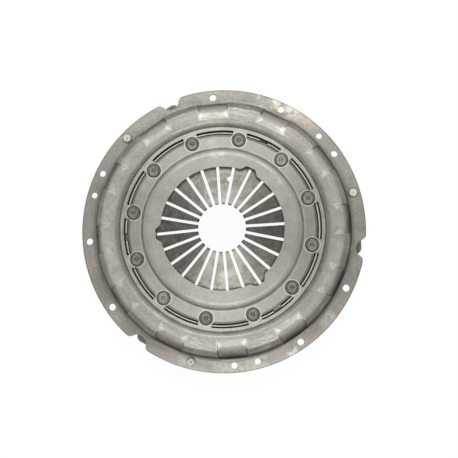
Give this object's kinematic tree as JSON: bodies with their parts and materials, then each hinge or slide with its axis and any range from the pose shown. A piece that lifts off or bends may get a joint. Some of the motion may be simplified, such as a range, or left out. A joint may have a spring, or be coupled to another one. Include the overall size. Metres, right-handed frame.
{
  "type": "clutch pressure plate",
  "caption": "Push-type diaphragm clutch cover: pressed steel cover, slotted spring on riveted wire rings, and a cast pressure plate on drive straps.",
  "frame": {"origin": "on the axis, in the plane of the flange's underside", "axes": "+Z along the axis towards the gearbox, +X through the middle of one hump recess"},
  "size_m": [0.456, 0.456, 0.0834],
  "materials": {
    "cover_steel": "shot-blasted, satin",
    "spring_steel": "tempered, satin",
    "wire_steel": "drawn wire",
    "dark_rivet_steel": "phosphated",
    "bright_rivet_steel": "plated",
    "strap_steel": "rolled strip",
    "cast_iron": "cast, friction face ground"
  },
  "bodies": {
    "cover_side": {"cover": "cover_steel", "diaphragm_spring": "spring_steel", "fulcrum_rivets": "dark_rivet_steel", "upper_ring_1": "wire_steel", "upper_ring_2": "wire_steel", "upper_ring_3": "wire_steel", "lower_fulcrum_ring": "wire_steel", "strap_leaf_1_1": "strap_steel", "strap_leaf_1_2": "strap_steel", "strap_leaf_1_3": "strap_steel", "strap_leaf_1_4": "strap_steel", "strap_leaf_2_1": "strap_steel", "strap_leaf_2_2": "strap_steel", "strap_leaf_2_3": "strap_steel", "strap_leaf_2_4": "strap_steel", "strap_leaf_3_1": "strap_steel", "strap_leaf_3_2": "strap_steel", "strap_leaf_3_3": "strap_steel", "strap_leaf_3_4": "strap_steel", "cover_strap_rivets": "bright_rivet_steel"},
    "plate_side": {"pressure_plate": "cast_iron", "plate_strap_rivets": "bright_rivet_steel"}
  },
  "joints": [
    {"name": "plate_lift", "type": "slide", "parent": "cover_side", "child": "plate_side", "axis": [0, 0, 1], "range_m": [0, 0.006], "stiffness_N_per_m": 1000000, "deforming": ["diaphragm_spring", "strap_leaf_1_1", "strap_leaf_1_2", "strap_leaf_1_3", "strap_leaf_1_4", "strap_leaf_2_1", "strap_leaf_2_2", "strap_leaf_2_3", "strap_leaf_2_4", "strap_leaf_3_1", "strap_leaf_3_2", "strap_leaf_3_3", "strap_leaf_3_4"]}
  ]
}
